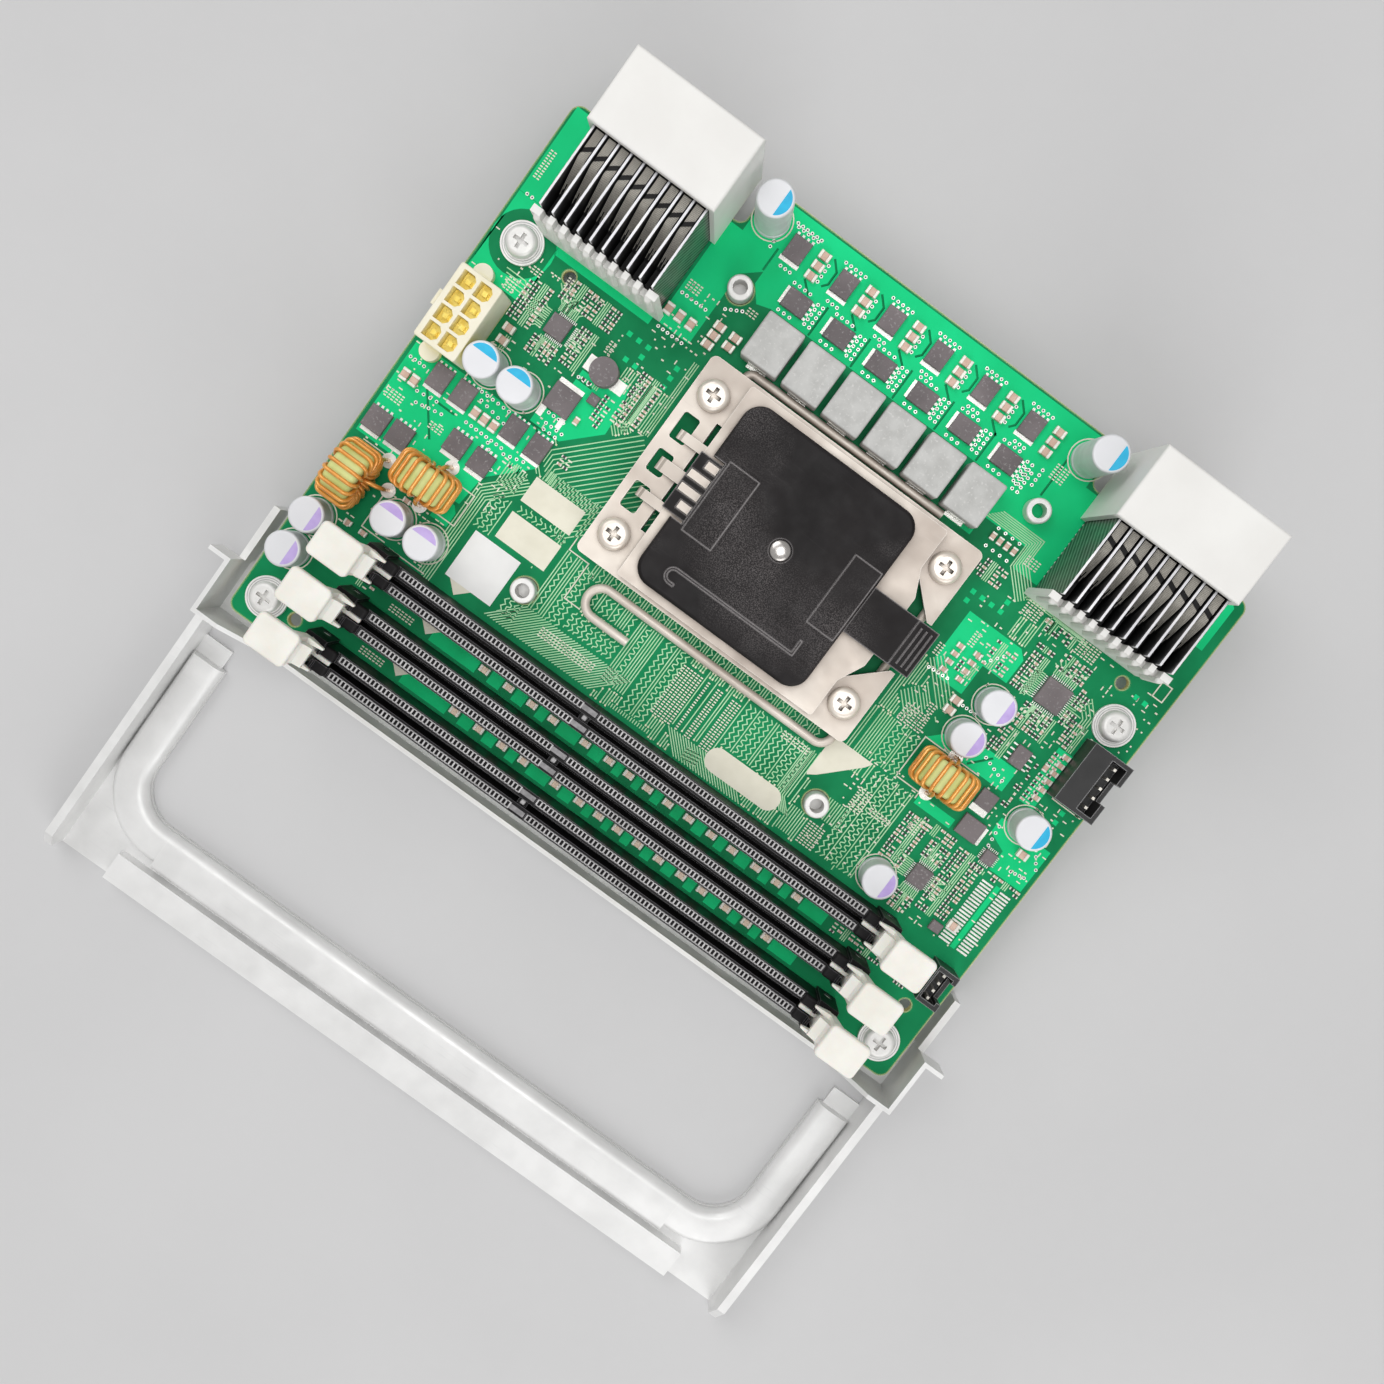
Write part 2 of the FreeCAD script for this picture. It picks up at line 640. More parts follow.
def socket_backplate():
    bottom = BOARD_BOTTOM - BACKPLATE_THICK
    body = box(-BACKPLATE_HALF, BACKPLATE_HALF, -BACKPLATE_HALF, BACKPLATE_HALF, bottom, BOARD_BOTTOM)
    half = BACKPLATE_WINDOW_HALF
    window = round_upright(box(-half, half, -half, half, bottom - 1, 0), NOTCH_R)
    body = in_socket(round_upright(body, BOARD_CORNER_R).cut(window))
    cuts = [disc(x, y, POST_SHANK_R + PRESS_GAP, bottom - 1, 0) for x, y in cooler_posts_xy()]
    cuts += [disc(x, y, FRAME_SCREW_R + PRESS_GAP, bottom - 1, 0) for x, y in frame_screws_xy()]
    return body.cut(Part.makeCompound(cuts))


def cooler_post(x, y):
    body = round_at_height(disc(x, y, POST_R, BOARD_BOTTOM, POST_TOP), POST_EDGE_R, POST_TOP)
    shank = disc(x, y, POST_SHANK_R, BOARD_BOTTOM - BACKPLATE_THICK, BOARD_BOTTOM)
    return union([body, shank]).cut(disc(x, y, POST_TAP_R, POST_TOP - POST_TAP_DEEP, POST_TOP + 1))


export("socket_backplate", socket_backplate())
export("heatsink_posts", Part.makeCompound([cooler_post(x, y) for x, y in cooler_posts_xy()]))


# Processor socket

def cpu_socket():
    body = box(-SOCKET_HALF_X, SOCKET_HALF_X, -SOCKET_HALF_Y, SOCKET_HALF_Y, 0, SOCKET_RIM_TOP)
    seat_x = SOCKET_HALF_X - SOCKET_RIM_THICK
    seat_y = SOCKET_HALF_Y - SOCKET_RIM_THICK
    seat = box(-seat_x, seat_x, -seat_y, seat_y, SOCKET_FLOOR, SOCKET_RIM_TOP + 1)
    return in_socket(round_upright(body, SOCKET_CORNER_R).cut(round_upright(seat, SEAT_CORNER_R)))


export("cpu_socket", cpu_socket())


# Loading frame, with bearing ears for the two levers

def lever_ears(x):
    y0 = LEVER_EAR_Y
    y1 = LEVER_EAR_Y + LEVER_EAR_THICK
    ears = []
    for low, high in ((y0, y1), (-y1, -y0)):
        ear = box(x - LEVER_EAR_HALF, x + LEVER_EAR_HALF, low, high, 0, FRAME_BOTTOM + FRAME_THICK / 2)
        ears.append(ear.cut(rod_along_y(x, LEVER_Z, LEVER_R + RUNNING_GAP, low - 1, high + 1)))
    return ears


def frame_sheet():
    sheet = box(-FRAME_HALF_X, FRAME_HALF_X, -FRAME_HALF_Y, FRAME_HALF_Y, FRAME_BOTTOM, FRAME_TOP)
    sheet = round_upright(sheet, FRAME_CORNER_R)
    low = FRAME_BOTTOM - 1
    high = FRAME_TOP + 1
    window = box(-FRAME_WINDOW_HALF_X, FRAME_WINDOW_HALF_X,
                 -FRAME_WINDOW_HALF_Y, FRAME_WINDOW_HALF_Y, low, high)
    left_relief = box(-FRAME_WINDOW_HALF_X - HINGE_STRIP_RELIEF, 0, -HINGE_STRIP_HALF_Y, HINGE_STRIP_HALF_Y,
                      low, high)
    slope_x, slope_y = LOCK_SLOPE_INNER
    upper = [(FRAME_WINDOW_HALF_X - 1, LOCK_CORNER_Y), (slope_x, slope_y),
             (LOCK_SLOPE_OUTER_X, LOCK_GAP_HALF_Y), (FRAME_HALF_X + 1, LOCK_GAP_HALF_Y)]
    lower = [(x, -y) for x, y in reversed(upper)]
    right_relief = plate(upper + lower, low, high)
    cuts = []
    for y, wide in HINGE_WINDOWS_Y:
        opening = box(HINGE_WINDOW[0], HINGE_WINDOW[1], y - wide / 2, y + wide / 2, low, high)
        cuts.append(round_upright(opening, HINGE_WINDOW_R))
    for sx in (-1, 1):
        for sy in (-1, 1):
            cuts.append(disc(sx * FRAME_SCREW_X, sy * FRAME_SCREW_Y, FRAME_SCREW_R + HOLE_GAP, low, high))
    return sheet.cut(window).cut(left_relief).cut(right_relief).cut(Part.makeCompound(cuts))


def socket_frame():
    leg_in = FRAME_HALF_Y - FRAME_LEG_THICK
    legs = [
        box(-FRAME_LEG_HALF, FRAME_LEG_HALF, leg_in, FRAME_HALF_Y, 0, FRAME_TOP),
        box(-FRAME_LEG_HALF, FRAME_LEG_HALF, -FRAME_HALF_Y, -leg_in, 0, FRAME_TOP),
    ]
    return in_socket(union([frame_sheet()] + legs + lever_ears(FAR_CRANK_X) + lever_ears(NEAR_CRANK_X)))


def frame_screw(x, y):
    head_top = FRAME_TOP + FRAME_SCREW_HEAD_HIGH
    head = disc(x, y, FRAME_SCREW_HEAD_R, FRAME_TOP, head_top)
    head = round_at_height(head, FRAME_SCREW_DOME_R, head_top)
    shank = disc(x, y, FRAME_SCREW_R, BOARD_BOTTOM - BACKPLATE_THICK, FRAME_TOP)
    return union([head, shank]).cut(cross_recess(x, y, head_top))


export("socket_frame", socket_frame())
export("socket_screws", Part.makeCompound([frame_screw(x, y) for x, y in frame_screws_xy()]))


# Load plate: hooks in the frame's left windows and swings up on them

def hinge_tab(y, wide):
    half = wide / 2
    root = PLATE_LEFT + HINGE_TAB_ROOT
    barrel = HINGE_BARREL_R - PRESS_GAP
    arm = profile_along_y([
        (root, PLATE_TOP), (root, PLATE_BOTTOM), (HINGE_X + HINGE_TAB_KNEE, FRAME_TOP + HINGE_TAB_RISE),
        (HINGE_X + barrel, HINGE_Z), (HINGE_X - barrel, HINGE_Z),
        (HINGE_X + HINGE_TAB_BACK, PLATE_BOTTOM)], y - half, y + half)
    return union([arm, rod_along_y(HINGE_X, HINGE_Z, HINGE_BARREL_R, y - half, y + half)])


def plate_fingers(margin):
    half = FINGER_WIDE / 2 + margin
    right = FINGER_RIGHT + margin
    low = PLATE_TOP - FINGER_ROOT
    return [box(FINGER_RIGHT - long - margin, right, y - half, y + half, low, PLATE_TOP + FINGER_HIGH)
            for y, long in FINGERS]


def load_plate():
    shoulder_x, shoulder_y = PLATE_SHOULDER
    upper = [(PLATE_LEFT, PLATE_HALF_Y), (PLATE_RIGHT, PLATE_HALF_Y), (PLATE_RIGHT, PLATE_CORNER_Y),
             (shoulder_x, shoulder_y), (shoulder_x, PLATE_TONGUE_HALF), (PLATE_TONGUE_X, PLATE_TONGUE_HALF)]
    lower = [(x, -y) for x, y in reversed(upper)]
    outline = plate(upper + lower, PLATE_BOTTOM, PLATE_TOP)
    window = box(-PLATE_WINDOW_HALF_X, PLATE_WINDOW_HALF_X, -PLATE_WINDOW_HALF_Y, PLATE_WINDOW_HALF_Y,
                 PLATE_BOTTOM - 1, PLATE_TOP + 1)
    body = round_upright(outline, PLATE_CORNER_R).cut(round_upright(window, PLATE_WINDOW_R))
    rib_in = PLATE_HALF_Y - PLATE_RIB_THICK
    rib_bottom = FRAME_TOP + SLIDE_GAP
    pieces = [body]
    pieces.append(box(-PLATE_RIB_HALF, PLATE_RIB_HALF, rib_in, PLATE_HALF_Y, rib_bottom, PLATE_TOP))
    pieces.append(box(-PLATE_RIB_HALF, PLATE_RIB_HALF, -PLATE_HALF_Y, -rib_in, rib_bottom, PLATE_TOP))
    pieces += [hinge_tab(y, wide) for y, wide in HINGE_TABS_Y]
    return in_socket(union(pieces + plate_fingers(0)))


def lever_near():
    y0 = NEAR_ARM_Y
    z = LEVER_Z
    bend = NEAR_BEND_R
    slant = bend * (1 - math.sqrt(0.5))
    x1 = NEAR_CRANK_X
    hook_y = y0 - 2 * NEAR_HOOK_R
    edges = [
        Part.LineSegment(Vector(x1, CRANK_END, z), Vector(x1, y0 + bend, z)).toShape(),
        Part.Arc(Vector(x1, y0 + bend, z), Vector(x1 - slant, y0 + slant, z),
                 Vector(x1 - bend, y0, z)).toShape(),
        Part.LineSegment(Vector(x1 - bend, y0, z), Vector(NEAR_HOOK_X, y0, z)).toShape(),
        Part.Arc(Vector(NEAR_HOOK_X, y0, z), Vector(NEAR_HOOK_X - NEAR_HOOK_R, y0 - NEAR_HOOK_R, z),
                 Vector(NEAR_HOOK_X, hook_y, z)).toShape(),
        Part.LineSegment(Vector(NEAR_HOOK_X, hook_y, z), Vector(NEAR_HOOK_END_X, hook_y, z)).toShape(),
    ]
    return in_socket(pipe(edges, Vector(x1, CRANK_END, z), ALONG_Y, LEVER_R))


def lever_far():
    y0 = FAR_ARM_Y
    z = LEVER_Z
    bend = FAR_BEND_R
    slant = bend * (1 - math.sqrt(0.5))
    x1 = FAR_CRANK_X
    edges = [
        Part.LineSegment(Vector(x1, -CRANK_END, z), Vector(x1, y0 - bend, z)).toShape(),
        Part.Arc(Vector(x1, y0 - bend, z), Vector(x1 + slant, y0 - slant, z),
                 Vector(x1 + bend, y0, z)).toShape(),
        Part.LineSegment(Vector(x1 + bend, y0, z), Vector(FAR_ARM_END_X, y0, z)).toShape(),
    ]
    return in_socket(pipe(edges, Vector(x1, -CRANK_END, z), ALONG_Y, LEVER_R))


export("load_plate", load_plate())
export("lever_near", lever_near())
export("lever_far", lever_far())


# Protective cap

def cap_rib(top):
    half = CAP_RIB_WIDE / 2
    low = top - CAP_RIB_ROOT
    high = top + CAP_RIB_HIGH
    turn_y = CAP_RIB_Y - CAP_RIB_TURN_R
    tail_y = turn_y - CAP_RIB_TURN_R
    ring = disc(CAP_RIB_LEFT, turn_y, CAP_RIB_TURN_R + half, low, high)
    ring = ring.cut(disc(CAP_RIB_LEFT, turn_y, CAP_RIB_TURN_R - half, low - 1, high + 1))
    ring = ring.cut(box(CAP_RIB_LEFT, 0, -CAP_HALF_Y, 0, low - 1, high + 1))
    return [
        box(CAP_RIB_LEFT, CAP_RIB_RIGHT, CAP_RIB_Y - half, CAP_RIB_Y + half, low, high),
        box(CAP_RIB_RIGHT - half, CAP_RIB_RIGHT + half, CAP_RIB_Y - half, CAP_RIB_Y + CAP_RIB_HOOK,
            low, high),
        ring,
        box(CAP_RIB_LEFT, CAP_RIB_LEFT + CAP_RIB_TAIL, tail_y - half, tail_y + half, low, high),
    ]


def socket_cap():
    top = PLATE_TOP + CAP_HIGH
    shell = rounded_block(CAP_LEFT, CAP_RIGHT, -CAP_HALF_Y, CAP_HALF_Y, PLATE_TOP, top,
                          CAP_CORNER_R, CAP_EDGE_R)
    hollow_half_y = CAP_HALF_Y - CAP_WALL
    hollow = box(CAP_NOTCH_X + CAP_WALL, CAP_RIGHT - CAP_WALL, -hollow_half_y, hollow_half_y,
                 PLATE_TOP - 1, top - CAP_WALL)
    notch = box(CAP_LEFT - 1, CAP_NOTCH_X, -CAP_NOTCH_HALF_Y, CAP_NOTCH_HALF_Y, PLATE_TOP - 1, top + 1)
    shell = shell.cut(round_upright(hollow, CAP_CORNER_R - CAP_WALL)).cut(notch)
    pieces = [shell]
    ledge = box(CAP_LEDGE_LEFT, CAP_NOTCH_X + CAP_LEDGE_ROOT, -CAP_LEDGE_HALF_Y, CAP_LEDGE_HALF_Y,
                PLATE_TOP, PLATE_TOP + CAP_LEDGE_HIGH)
    pieces.append(ledge.cut(Part.makeCompound(plate_fingers(SLIDE_GAP))))
    for x0, x1 in CAP_PADS_X:
        pieces.append(box(x0, x1, -CAP_PAD_HALF_Y, CAP_PAD_HALF_Y,
                          top - CAP_PAD_HIGH, top + CAP_PAD_HIGH))
    tab_bottom = PLATE_TOP + CAP_TAB_RAISE
    pieces.append(box(CAP_RIGHT - CAP_WALL, CAP_TAB_X, -CAP_TAB_HALF_Y, CAP_TAB_HALF_Y,
                      tab_bottom, tab_bottom + CAP_TAB_THICK))
    pieces.append(box(CAP_TAB_X - CAP_GRIP_LONG, CAP_TAB_X, -CAP_TAB_HALF_Y, CAP_TAB_HALF_Y,
                      tab_bottom, tab_bottom + CAP_TAB_THICK + CAP_GRIP_HIGH))
    pieces += cap_rib(top)
    clip_out = PLATE_WINDOW_HALF_Y - SLIDE_GAP
    for side in (-1, 1):
        outer = side * clip_out
        inner = side * (clip_out - CAP_CLIP_THICK)
        pieces.append(box(-CAP_CLIP_HALF, CAP_CLIP_HALF, min(outer, inner), max(outer, inner),
                          PLATE_TOP - CAP_CLIP_DROP, top - CAP_WALL / 2))
    body = union(pieces)
    dimple_floor = Vector(0, 0, top - CAP_DIMPLE_DEEP)
    dimple = Part.makeCone(CAP_DIMPLE_R - CAP_DIMPLE_DEEP, CAP_DIMPLE_R, CAP_DIMPLE_DEEP, dimple_floor)
    nub = Part.makeCone(CAP_NUB_R[0], CAP_NUB_R[1], CAP_NUB_HIGH, dimple_floor)
    return in_socket(union([body.cut(dimple), nub]))


export("socket_cap", socket_cap())


# Memory slots and their latches

def memory_slot(y):
    half = SLOT_GROOVE_WIDE / 2
    body = box(-SLOT_BODY_HALF, SLOT_BODY_HALF, -SLOT_HALF_WIDE, SLOT_HALF_WIDE, 0, SLOT_HIGH)
    tower = box(SLOT_BODY_HALF, SLOT_HALF, -TOWER_HALF_WIDE, TOWER_HALF_WIDE, 0, TOWER_HIGH)
    tower = tower.makeChamfer(TOWER_CHAMFER, [e for e in tower.Edges if is_at_height(e, TOWER_HIGH) and
                                    abs(e.Vertexes[0].Point.x - e.Vertexes[1].Point.x) > 1])
    pocket = box(TOWER_POCKET_X, SLOT_HALF + 1, -TOWER_POCKET_HALF, TOWER_POCKET_HALF,
                 TOWER_POCKET_FLOOR, TOWER_HIGH + 1)
    pin_hole = rod_along_y(LATCH_PIVOT_X, LATCH_PIVOT_Z, LATCH_PIN_R + RUNNING_GAP,
                           -TOWER_HALF_WIDE - 1, TOWER_HALF_WIDE + 1)
    groove_end = TOWER_POCKET_X + 1
    key_left = SLOT_KEY_X - SLOT_KEY_WIDE / 2
    key_right = SLOT_KEY_X + SLOT_KEY_WIDE / 2
    cuts = [
        pocket, mirrored_x(pocket), pin_hole, mirrored_x(pin_hole),
        box(-groove_end, key_left, -half, half, SLOT_GROOVE_FLOOR, TOWER_HIGH + 1),
        box(key_right, groove_end, -half, half, SLOT_GROOVE_FLOOR, TOWER_HIGH + 1),
        box(key_left - 1, key_right + 1, -half, half, SLOT_KEY_TOP, TOWER_HIGH + 1),
    ]
    row_floor = SLOT_HIGH - CONTACT_ROW_DEEP
    for low, high in ((CONTACT_ROW_IN, CONTACT_ROW_OUT), (-CONTACT_ROW_OUT, -CONTACT_ROW_IN)):
        cuts.append(box(-CONTACT_HALF_SPAN, key_left - 1, low, high, row_floor, SLOT_HIGH + 1))
        cuts.append(box(key_right + 1, CONTACT_HALF_SPAN, low, high, row_floor, SLOT_HIGH + 1))
    lobe = rounded_block(SLOT_LOBE_X, SLOT_BODY_HALF + 1, -SLOT_HALF_WIDE, SLOT_HALF_WIDE, SLOT_HIGH - 1,
                         SLOT_LOBE_HIGH, SLOT_LOBE_EDGE_R, SLOT_LOBE_EDGE_R)
    slot = union([body, tower, mirrored_x(tower), lobe, mirrored_x(lobe)])
    for cut in cuts:
        slot = slot.cut(cut)
    return slot.translated(Vector(0, y, 0))


def latch(y):
    half = TOWER_POCKET_HALF - SLIDE_GAP
    px = LATCH_PIVOT_X
    pad_low, pad_high = LATCH_PAD_Z
    root = pad_low + LATCH_SINK
    lever = profile_along_y([
        (px - LATCH_HEEL[0], LATCH_HEEL[1]), (px - LATCH_TOE[0], LATCH_TOE[1]),
        (px + LATCH_TOE[0], LATCH_TOE[1]),
        (px + LATCH_BACK_LOW[0], LATCH_BACK_LOW[1]), (px + LATCH_BACK_HIGH[0], LATCH_BACK_HIGH[1]),
        (px + LATCH_FLARE, root), (LATCH_PAD_X[0] + LATCH_WEB_HALF, root),
        (px - LATCH_NECK[0], LATCH_NECK[1]),
        (px - LATCH_NOSE, LATCH_NOSE_Z[1]), (px - LATCH_NOSE, LATCH_NOSE_Z[0]),
        (px - LATCH_THROAT[0], LATCH_THROAT[1]), (px - LATCH_FRONT[0], LATCH_FRONT[1]),
        (px - LATCH_HEEL[0], LATCH_SHIN_Z)], -half, half)
    foot = box(LATCH_FOOT_X, px - LATCH_TOE[0], -LATCH_FOOT_HALF, LATCH_FOOT_HALF,
               LATCH_FOOT_Z[0], LATCH_FOOT_Z[1])
    pin = rod_along_y(px, LATCH_PIVOT_Z, LATCH_PIN_R, -LATCH_PIN_HALF, LATCH_PIN_HALF)
    pad = rounded_block(LATCH_PAD_X[0], LATCH_PAD_X[1], -LATCH_PAD_HALF, LATCH_PAD_HALF, pad_low, pad_high,
                        LATCH_PAD_CORNER_R, LATCH_PAD_CORNER_R / 2)
    web = profile_along_y([(px + LATCH_WEB_LOW[0], LATCH_WEB_LOW[1]), (px + LATCH_WEB_REACH, root),
                           (px + LATCH_WEB_LOW[0], root)], -LATCH_WEB_HALF, LATCH_WEB_HALF)
    shoulder = profile_along_y([
        (px + LATCH_SHOULDER_IN, LATCH_SHOULDER_Z), (px + LATCH_BACK_HIGH[0], LATCH_SHOULDER_Z),
        (px + LATCH_FLARE, root), (LATCH_PAD_X[0] + LATCH_WEB_HALF, root)],
        -LATCH_SHOULDER_HALF, LATCH_SHOULDER_HALF)
    return union([lever, foot, pin, pad, web, shoulder]).translated(Vector(0, y, 0))


for number in range(SLOT_COUNT):
    slot_y = SLOT_FIRST_Y - number * SLOT_PITCH
    slot_name = "slot_" + str(number + 1)
    export("memory_" + slot_name, memory_slot(slot_y))
    export(slot_name + "_latch_right", latch(slot_y))
    export(slot_name + "_latch_left", mirrored_x(latch(slot_y)))


# Power inlet

def power_ways():
    first_x = -EDGE + POWER_INSET + (POWER_DEEP - POWER_PITCH) / 2
    columns = [first_x, first_x + POWER_PITCH]
    middle = (POWER_ROWS - 1) / 2
    return [(x, (row - middle) * POWER_PITCH) for x in columns for row in range(POWER_ROWS)]


def power_connector():
    x0 = -EDGE + POWER_INSET
    x1 = x0 + POWER_DEEP
    body = rounded_block(x0, x1, -POWER_HALF_LONG, POWER_HALF_LONG, 0, POWER_HIGH,
                         POWER_CORNER_R, POWER_EDGE_R)
    ear_x = x0 + POWER_EAR_R
    ear_y = POWER_HALF_LONG + POWER_EAR_REACH
    lock_top = POWER_HIGH - POWER_LOCK
    pieces = [body]
    pieces.append(disc(ear_x, ear_y, POWER_EAR_R, 0, POWER_EAR_HIGH))
    pieces.append(disc(ear_x, -ear_y, POWER_EAR_R, 0, POWER_EAR_HIGH))
    pieces.append(box(x0 - POWER_LOCK, x0 + POWER_LOCK, -POWER_LOCK_WIDE / 2, POWER_LOCK_WIDE / 2,
                      lock_top - POWER_LOCK_HIGH, lock_top))
    cuts = [power_cavity(x, y) for x, y in power_ways()]
    return union(pieces).cut(Part.makeCompound(cuts))


def power_cavity(x, y):
    shape = block(x, y, POWER_CAVITY, POWER_CAVITY, POWER_FLOOR, POWER_HIGH + 1)
    right = [e for e in shape.Edges if is_upright(e) and e.Vertexes[0].Point.x > x]
    return shape.makeChamfer(POWER_CAVITY_CUT, right)


def power_pin(x, y):
    wide = POWER_CAVITY - 2 * PRESS_GAP
    sleeve = block(x, y, wide, wide, POWER_FLOOR, POWER_COLLAR_TOP)
    right = [e for e in sleeve.Edges if is_upright(e) and e.Vertexes[0].Point.x > x]
    sleeve = sleeve.makeChamfer(POWER_CAVITY_CUT, right)
    return union([sleeve, block(x, y, POWER_BLADE, POWER_BLADE, POWER_FLOOR, POWER_BLADE_TOP)])


export("power_connector", power_connector())
export("power_pins", Part.makeCompound([power_pin(x, y) for x, y in power_ways()]))


# Backplane connectors

def backplane_shroud(x0):
    x1 = x0 + BACKPLANE_WIDE
    body = box(x0, x1, SHROUD_REAR, SHROUD_FRONT, 0, SHROUD_HIGH)
    body = body.makeFillet(SHROUD_EDGE_R, [e for e in body.Edges if is_at_height(e, SHROUD_HIGH)])
    pocket = box(x0 + SHROUD_WALL, x1 - SHROUD_WALL, SHROUD_REAR - 1, SHROUD_FRONT - SHROUD_FACE,
                 WAFER_LIFT, SHIELD_HIGH + SLIDE_GAP)
    slots = [
        box(x - WAFER_THICK / 2, x + WAFER_THICK / 2, SHROUD_FRONT - SHROUD_FACE - 1, SHROUD_FRONT + 1,
            WAFER_LIFT + SHROUD_SLOT_MARGIN, SHIELD_HIGH - SHROUD_SLOT_MARGIN) for x in wafer_places(x0)]
    return body.cut(pocket).cut(Part.makeCompound(slots))


def shield_places(x0):
    margin = SHROUD_WALL + SLIDE_GAP + SHIELD_THICK / 2
    pitch = (BACKPLANE_WIDE - 2 * margin) / (SHIELD_COUNT - 1)
    return [x0 + margin + k * pitch for k in range(SHIELD_COUNT)]


def wafer_places(x0):
    shields = shield_places(x0)
    return [(a + b) / 2 for a, b in zip(shields[:-1], shields[1:])]


def backplane_leaves(places, thick, high):
    half = thick / 2
    leaves = [box(x - half, x + half, WAFER_BACK, WAFER_FRONT, WAFER_LIFT, high) for x in places]
    return Part.makeCompound(leaves)


def backplane_organiser(x0):
    back = WAFER_BACK - SLIDE_GAP - ORGANISER_THICK
    body = box(x0, x0 + BACKPLANE_WIDE, back, back + ORGANISER_THICK, 0, ORGANISER_HIGH)
    cuts = [box(x - WAFER_THICK / 2, x + WAFER_THICK / 2, back - 1, back + ORGANISER_THICK + 1,
                ORGANISER_HIGH - ORGANISER_SLOT_DEEP, ORGANISER_HIGH + 1) for x in wafer_places(x0)]
    return body.cut(Part.makeCompound(cuts))


BACKPLANES = {"left": -EDGE + BACKPLANE_INSET, "right": EDGE - BACKPLANE_INSET - BACKPLANE_WIDE}
for side_name, left_x in BACKPLANES.items():
    export(side_name + "_backplane_shroud", backplane_shroud(left_x))
    shields = backplane_leaves(shield_places(left_x), SHIELD_THICK, SHIELD_HIGH)
    export(side_name + "_backplane_shields", shields)
    wafers = backplane_leaves(wafer_places(left_x), WAFER_THICK, WAFER_HIGH)
    export(side_name + "_backplane_wafers", wafers)
    export(side_name + "_backplane_organiser", backplane_organiser(left_x))


# Fan headers

def fan_header(spec):
    x1 = EDGE - spec["inset"]
    x0 = x1 - spec["deep"]
    y = spec["y"]
    body = box(x0, x1, y - spec["long"] / 2, y + spec["long"] / 2, 0, FAN_HIGH)
    cavity_half = spec["long"] / 2 - FAN_WALL
    cavity = box(fan_pin_x(spec) - FAN_PIN_GAP, x1 - FAN_WALL, y - cavity_half, y + cavity_half,
                 FAN_FLOOR, FAN_HIGH + 1)
    key = box(x1 - FAN_WALL - 1, x1 + 1, y - FAN_KEY_HALF, y + FAN_KEY_HALF,
              FAN_FLOOR + FAN_KEY_LIFT, FAN_HIGH + 1)
    return body.cut(cavity).cut(key)


def fan_pin_x(spec):
    return EDGE - spec["inset"] - FAN_WALL - FAN_PIN_GAP


def fan_pins(spec):
    x = fan_pin_x(spec)
    first = spec["y"] - (spec["pins"] - 1) * spec["pitch"] / 2
    ys = [first + k * spec["pitch"] for k in range(spec["pins"])]
    return [block(x, y, FAN_PIN, FAN_PIN, FAN_FLOOR, FAN_PIN_TOP) for y in ys]


export("fan_headers", Part.makeCompound([fan_header(FAN_REAR), fan_header(FAN_FRONT)]))
export("fan_header_pins", Part.makeCompound(fan_pins(FAN_REAR) + fan_pins(FAN_FRONT)))


# Inductors, chokes and capacitors

def phase_inductor(x):
    long_x, long_y, high = INDUCTOR_SIZE
    half_x = long_x / 2
    half_y = long_y / 2
    return rounded_block(x - half_x, x + half_x, INDUCTOR_Y - half_y, INDUCTOR_Y + half_y, 0, high,
                         INDUCTOR_EDGE_R, INDUCTOR_EDGE_R)


for number in range(INDUCTOR_COUNT):
    export("phase_inductor_" + str(number + 1), phase_inductor(INDUCTOR_FIRST_X + number * INDUCTOR_PITCH))


def choke_stand(shape, place):
    x, y, axis = place
    turned = shape.copy()
    if axis == "x":
        turned.rotate(Vector(0, 0, 0), ALONG_Y, 90)
    else:
        turned.rotate(Vector(0, 0, 0), Vector(1, 0, 0), 90)
    lift = CHOKE_RING_OUT + 2 * CHOKE_WIRE_R + 2 * PRESS_GAP
    return turned.translated(Vector(x, y, lift))


def choke_core():
    half = CHOKE_RING_WIDE / 2
    ring = disc(0, 0, CHOKE_RING_OUT, -half, half).cut(disc(0, 0, CHOKE_RING_IN, -half - 1, half + 1))
    return ring.makeFillet(CHOKE_CORNER_R, ring.Edges)


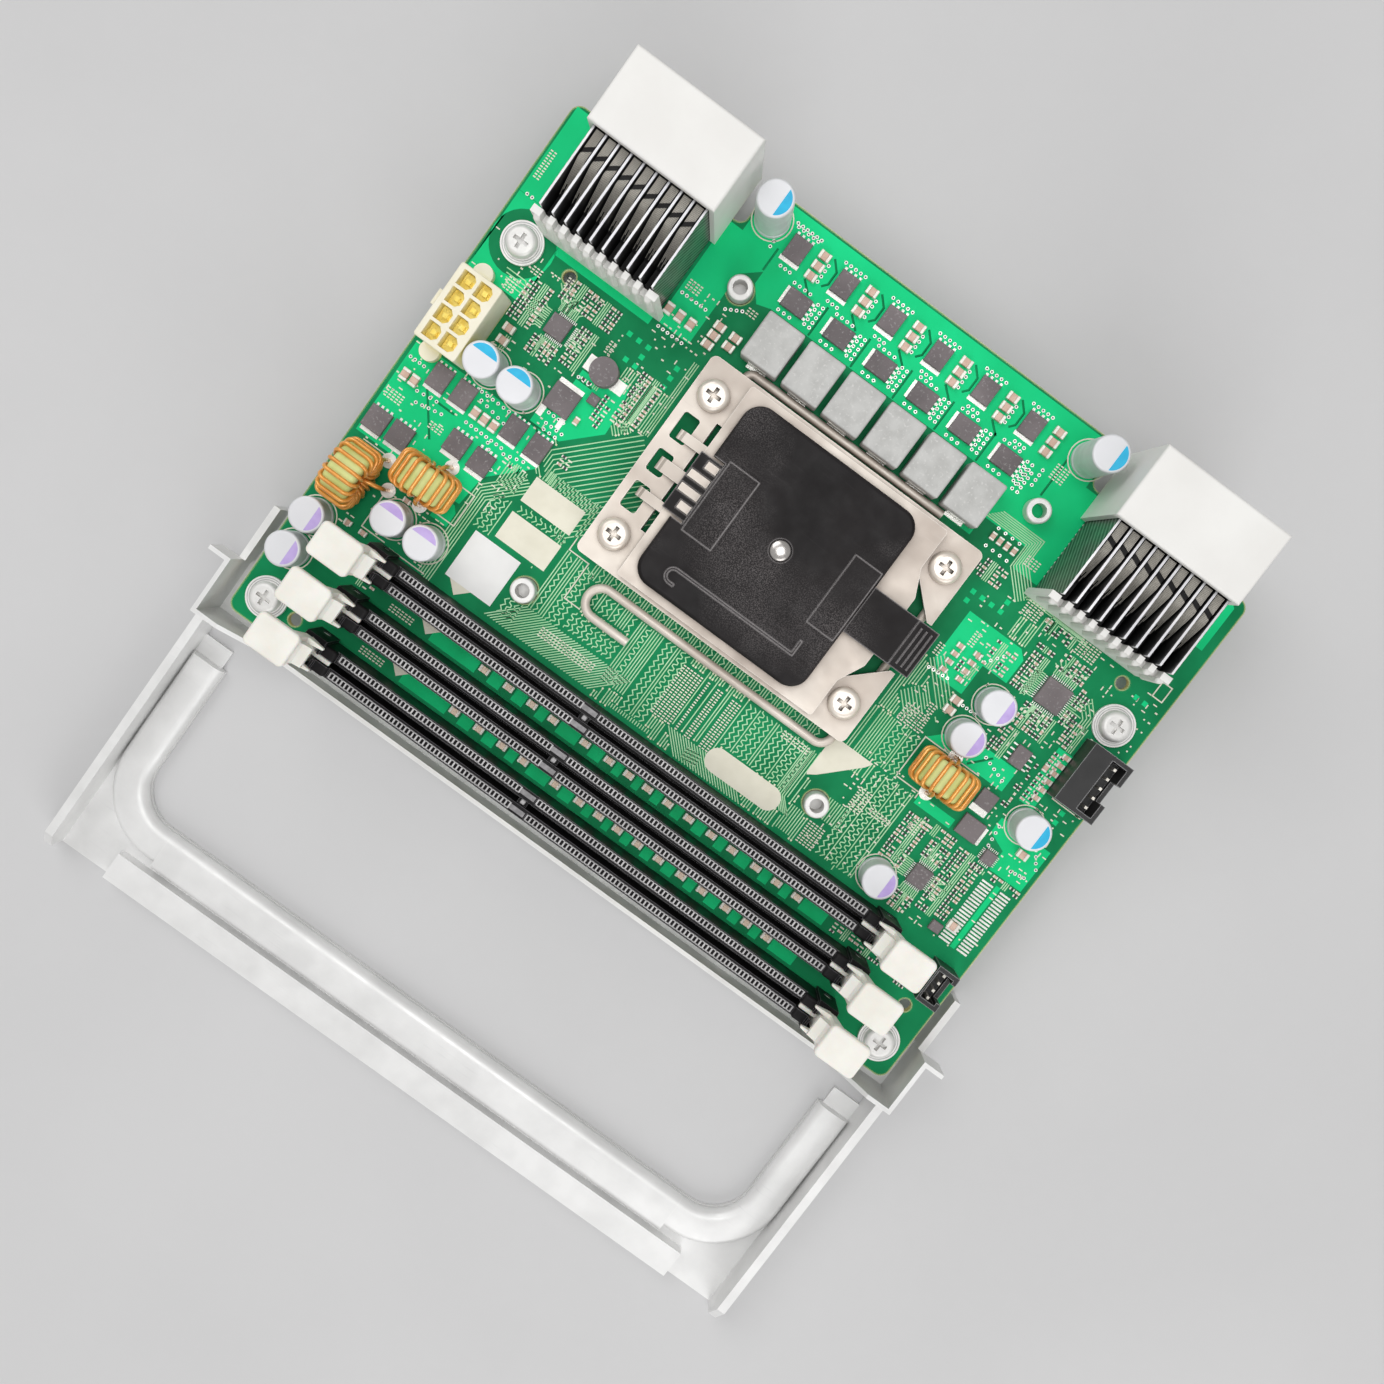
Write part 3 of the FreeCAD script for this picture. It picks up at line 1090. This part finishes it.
def choke_turn():
    reach = CHOKE_WIRE_R + PRESS_GAP
    inner = CHOKE_RING_IN - reach
    outer = CHOKE_RING_OUT + reach
    top = CHOKE_RING_WIDE / 2 + reach
    bend = CHOKE_CORNER_R + reach
    slant = bend * (1 - math.sqrt(0.5))
    edges = []
    corners = [(outer, top, -1, -1), (inner, top, 1, -1), (inner, -top, 1, 1), (outer, -top, -1, 1)]
    ends = []
    for x, z, sx, sz in corners:
        along_x = Vector(x + sx * bend, 0, z)
        along_z = Vector(x, 0, z + sz * bend)
        middle = Vector(x + sx * slant, 0, z + sz * slant)
        first, last = (along_z, along_x) if sx * sz > 0 else (along_x, along_z)
        ends.append((first, middle, last))
    for k, (first, middle, last) in enumerate(ends):
        edges.append(Part.Arc(first, middle, last).toShape())
        following = ends[(k + 1) % len(ends)][0]
        edges.append(Part.LineSegment(last, following).toShape())
    start = edges[1].Vertexes[0].Point
    return pipe(edges[1:] + edges[:1], start, edges[1].tangentAt(edges[1].FirstParameter), CHOKE_WIRE_R)


def choke_winding():
    turn = choke_turn()
    solids = []
    for k in range(CHOKE_TURNS):
        copy = turn.copy()
        copy.rotate(Vector(0, 0, 0), UP, (k + 0.5) * 360.0 / CHOKE_TURNS)
        solids.append(copy)
    return Part.makeCompound(solids)


for number, place in enumerate(CHOKE_PLACES):
    export("choke_" + str(number + 1) + "_core", choke_stand(choke_core(), place))
    export("choke_" + str(number + 1) + "_winding", choke_stand(choke_winding(), place))


def capacitor_can(x, y, high):
    body = round_at_height(disc(x, y, CAN_R, 0, high), CAN_EDGE_R, high)
    groove = Part.makeTorus(CAN_R + CAN_CRIMP_DEEP, 2 * CAN_CRIMP_DEEP, Vector(x, y, CAN_CRIMP_Z))
    return body.cut(groove)


for number, (x, y, high) in enumerate(CAN_PLACES):
    export("capacitor_" + str(number + 1), capacitor_can(x, y, high))


# Soldered packages

def package(x, y, long_x, long_y, high):
    body = block(x, y, long_x, long_y, 0, high)
    return body.makeChamfer(PACKAGE_BEVEL, [e for e in body.Edges if is_at_height(e, high)])


def switch_row(row):
    long_x, long_y = row["size"]
    return [(row["first"] + k * row["pitch"], row["y"], long_x, long_y) for k in range(SWITCH_COUNT)]


def drum_choke():
    x, y = DRUM_CHOKE
    body = disc(x, y, DRUM_CHOKE_R, 0, DRUM_CHOKE_HIGH)
    middle = Vector(x, y, DRUM_CHOKE_HIGH / 2)
    return body.cut(Part.makeTorus(DRUM_CHOKE_R + DRUM_CHOKE_GROOVE / 2, DRUM_CHOKE_GROOVE, middle))


transistor_places = switch_row(UPPER_SWITCH) + switch_row(LOWER_SWITCH) + OTHER_TRANSISTORS
transistors = [package(*place, TRANSISTOR_HIGH) for place in transistor_places]
chips = [package(*place, CHIP_HIGH) for place in CHIPS]
export("power_transistors", Part.makeCompound(transistors))
export("logic_chips", Part.makeCompound(chips + [drum_choke()]))
